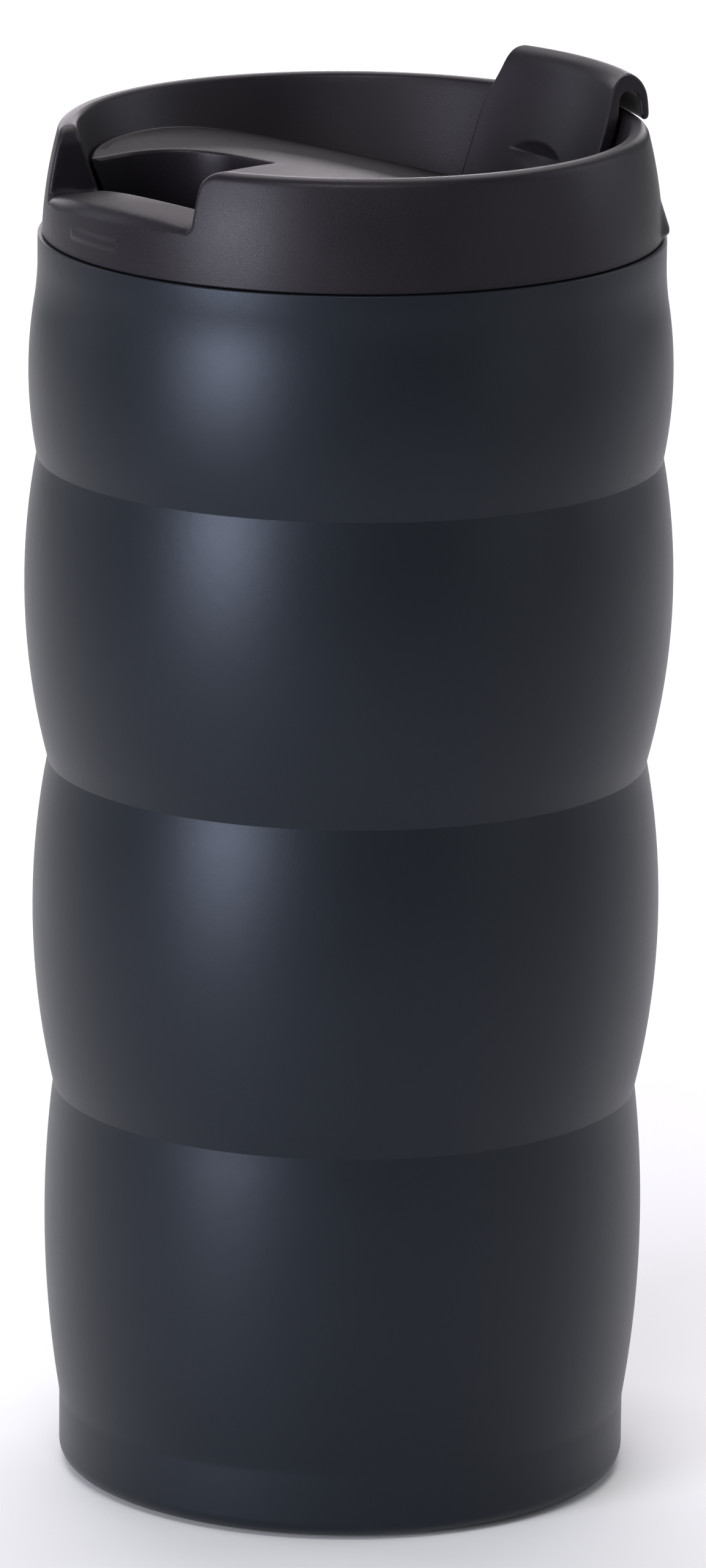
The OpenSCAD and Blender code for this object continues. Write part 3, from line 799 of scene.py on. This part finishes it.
def hook_loop():
    """The hook's section as an even, softened loop of (r, z) points."""
    back = bowl_wall(CAP_BASE_Z) - DIAL_GAP
    face = back - LEG_FOOT_T
    leg_z = RIM_Z - 0.6
    # the hollow over the rim: centre, and half of its width and height
    hollow, hollow_w, hollow_h = Vector((32.5, RIM_Z + 1.2)), 1.35, 1.4
    # the lip outside the rim, and the arch from it over the crown to the leg's inner face
    lip_in, lip_out, lip_low, bevel = 33.95, 34.9, RIM_Z - 0.8, 0.1
    lip_high, arch_low = RIM_Z + 1.6, RIM_Z + 1.8
    crown_in, crown_out, top_z = 32.2, 32.6, RIM_Z + HOOK_TOP
    face_z = RIM_Z + 2.6
    line = [Vector((back, CAP_BASE_Z)), Vector((bowl_wall(leg_z) - DIAL_GAP, leg_z))]
    for t in steps(math.radians(170), math.radians(10), 16):
        line.append(hollow + Vector((hollow_w * math.cos(t), hollow_h * math.sin(t))))
    line += [Vector((lip_in, lip_low + bevel)), Vector((lip_in + bevel, lip_low))]
    line += [Vector((lip_out - 0.25, lip_low))]
    line += bulged((lip_out, lip_low + 0.3), (lip_out, lip_high), 0.05, 6)
    line += bulged((lip_out, arch_low), (crown_out, top_z), 0.5, 12)
    line += bulged((crown_in, top_z), (face + (face_z - CAP_BASE_Z) * LEG_LEAN, face_z), 0.35, 10)
    line += [Vector((face, CAP_BASE_Z))]
    # even steps along the line, then a few passes that soften its corners
    spacing, passes = 0.2, 3
    even = []
    carry = 0.0
    for p, q in zip(line, line[1:] + line[:1]):
        length = (q - p).length
        d = carry
        while d < length:
            even.append(lerp(p, q, d / length))
            d += spacing
        carry = d - length
    n = len(even)
    for _ in range(passes):
        even = [(even[i - 1] + 2 * even[i] + even[(i + 1) % n]) / 4 for i in range(n)]
    return even


def build_hook():
    """The hook: its section swept from side to side, with rounded ends and the scoop in its leg."""
    loop = hook_loop()
    n = len(loop)
    normals = []
    for i in range(n):
        run = (loop[(i + 1) % n] - loop[i - 1]).normalized()
        normals.append(Vector((-run.y, run.x)))
    if sum(p.x * q.y - q.x * p.y for p, q in zip(loop, loop[1:] + loop[:1])) < 0:
        normals = [-v for v in normals]
    edge = 0.32
    ends = [(edge * (1 - math.cos(t)), edge * (1 - math.sin(t))) for t in steps(0, math.pi / 2, 6)]
    stations = [(-1, d, inset) for d, inset in ends]
    stations += [(t, 0.0, 0.0) for t in steps(-1, 1, 120)[2:-2]]
    stations += [(1, d, inset) for d, inset in reversed(ends)]
    rows = []
    for t, d, inset in stations:
        row = []
        for p, v in zip(loop, normals):
            q = p + v * inset
            x = t * (hook_half(q.y - RIM_Z) - d)
            row.append(scooped(Vector((x, math.sqrt(q.x * q.x - x * x), q.y)), -v))
        rows.append(row)
    hook = skin("thumb_tab", rows, closed=False, caps=True)
    return finish_piece(hook, "dial", "dial_plastic", "thumb_hook")


def scooped(p, outward):
    """Pushes a point of the leg's inner face out to the eye-shaped scoop cut by two overlapping balls."""
    faces_in = -0.5
    if outward.x > faces_in:
        return p
    push = Vector((0, SCOOP_NORMAL.x, SCOOP_NORMAL.y))
    depths = []
    for centre in SCOOP_BALLS:
        gap = p - centre
        along = gap.dot(push)
        inside = SCOOP_BALL_R ** 2 - gap.length_squared
        if inside <= 0:
            return p
        depths.append(-along + math.sqrt(along * along + inside))
    return p + push * min(depths)


def scoop_balls():
    """Centres and radius of two balls whose overlap cuts the scoop, and the way into the leg's face."""
    half_w, half_h = SCOOP_WIDE / 2, SCOOP_TALL / 2
    ring = (half_w ** 2 + half_h ** 2) / (2 * half_h)
    off = ring - half_h
    front = (ring ** 2 - off ** 2 - SCOOP_DEEP ** 2) / (2 * SCOOP_DEEP)
    z = RIM_Z - SCOOP_DROP
    face = Vector((bowl_wall(CAP_BASE_Z) - DIAL_GAP - LEG_FOOT_T + (z - CAP_BASE_Z) * LEG_LEAN, z))
    up = Vector((LEG_LEAN, 1)).normalized()
    into = Vector((up.y, -up.x))
    centres = [face - into * front + up * off * side for side in (1, -1)]
    return [Vector((SCOOP_SIDE, c.x, c.y)) for c in centres], math.hypot(front, ring), into


SCOOP_BALLS, SCOOP_BALL_R, SCOOP_NORMAL = scoop_balls()

build_cup()
build_pad()
build_rim()
build_dial()
build_hook()


# ---------------------------------------------------------------- floor, light and camera


# the lights are aimed at the middle of the mug, in metres
MIDDLE = Vector((0, 0, 0.08))


def floor():
    """A plain pale floor, in metres."""
    half = 6.0
    mesh = bpy.data.meshes.new("floor")
    corners = [(-half, -half, 0), (half, -half, 0), (half, half, 0), (-half, half, 0)]
    mesh.from_pydata(corners, [], [(0, 1, 2, 3)])
    obj = bpy.data.objects.new("floor", mesh)
    bpy.context.collection.objects.link(obj)
    m = bpy.data.materials.new("floor")
    m.use_nodes = True
    shader = m.node_tree.nodes["Principled BSDF"]
    shader.inputs["Base Color"].default_value = (0.86, 0.86, 0.86, 1)
    shader.inputs["Roughness"].default_value = 0.9
    shader.inputs["Specular IOR Level"].default_value = 0.1
    mesh.materials.append(m)


def softbox(name, turn, elevation, distance, width, height, power, colour=(1, 1, 1), spread=180):
    """An area light, turn degrees to the right of the camera's side and elevation degrees up."""
    a, e = math.radians(VIEW_AZIMUTH + turn), math.radians(elevation)
    away = Vector((math.sin(a) * math.cos(e), -math.cos(a) * math.cos(e), math.sin(e)))
    light = bpy.data.lights.new(name, "AREA")
    light.shape = "RECTANGLE"
    light.color = colour
    light.spread = math.radians(spread)
    light.size, light.size_y = width, height
    light.energy = power
    obj = bpy.data.objects.new(name, light)
    obj.location = MIDDLE + away * distance
    obj.rotation_euler = (MIDDLE - obj.location).to_track_quat("-Z", "Y").to_euler()
    obj.visible_camera = False
    bpy.context.collection.objects.link(obj)


def world(colour, strength):
    """An even surrounding light."""
    w = bpy.data.worlds.new("studio")
    w.use_nodes = True
    background = w.node_tree.nodes["Background"]
    background.inputs["Color"].default_value = (*colour, 1)
    background.inputs["Strength"].default_value = strength
    bpy.context.scene.world = w


def camera():
    """The camera, placed as the photograph's was; its distance from the axis and its height are in metres."""
    distance, height = 1.19645, 0.38745
    pitch, yaw, roll = math.radians(14.362), math.radians(0.035), math.radians(0.604)
    data = bpy.data.cameras.new("camera")
    data.sensor_width = 36
    data.lens = 245.87
    data.clip_start, data.clip_end = 0.05, 50
    turn = Matrix.Rotation(math.radians(VIEW_AZIMUTH), 3, "Z")
    level = Vector((math.sin(yaw), math.cos(yaw), 0))
    forward = turn @ (level * math.cos(pitch) - Vector((0, 0, math.sin(pitch))))
    right = turn @ Vector((math.cos(yaw), -math.sin(yaw), 0))
    up = right.cross(forward)
    across = right * math.cos(roll) + up * math.sin(roll)
    above = up * math.cos(roll) - right * math.sin(roll)
    obj = bpy.data.objects.new("camera", data)
    matrix = Matrix((across, above, -forward)).transposed().to_4x4()
    matrix.translation = turn @ Vector((0, -distance, height))
    obj.matrix_world = matrix
    bpy.context.collection.objects.link(obj)
    bpy.context.scene.camera = obj


floor()
world((0.97, 0.98, 1.0), 0.25)
softbox("key", -45, 9, 1.0, 0.42, 0.42, 1.75, (0.86, 0.88, 1.0), spread=70)
softbox("fill", 62, 12, 1.1, 0.6, 0.5, 0.7)
softbox("top", 180, 60, 0.95, 0.9, 0.7, 6.0, (1.0, 0.95, 1.0))
softbox("back", 188, 33, 1.1, 0.5, 0.28, 0.5, (1.0, 0.94, 1.0))
softbox("behind", -174, 10, 1.1, 0.85, 0.22, 2.8, (1.0, 0.94, 1.0))
softbox("side_left", -112, 22, 1.1, 0.4, 0.7, 1.9, (0.86, 0.89, 1.0))
softbox("side_right", 108, 22, 1.1, 0.5, 0.7, 2.3, (0.88, 0.89, 1.0))
softbox("edge", -8, 50, 1.1, 0.6, 0.1, 0.5, spread=60)
camera()
bpy.context.scene.view_settings.view_transform = "Standard"
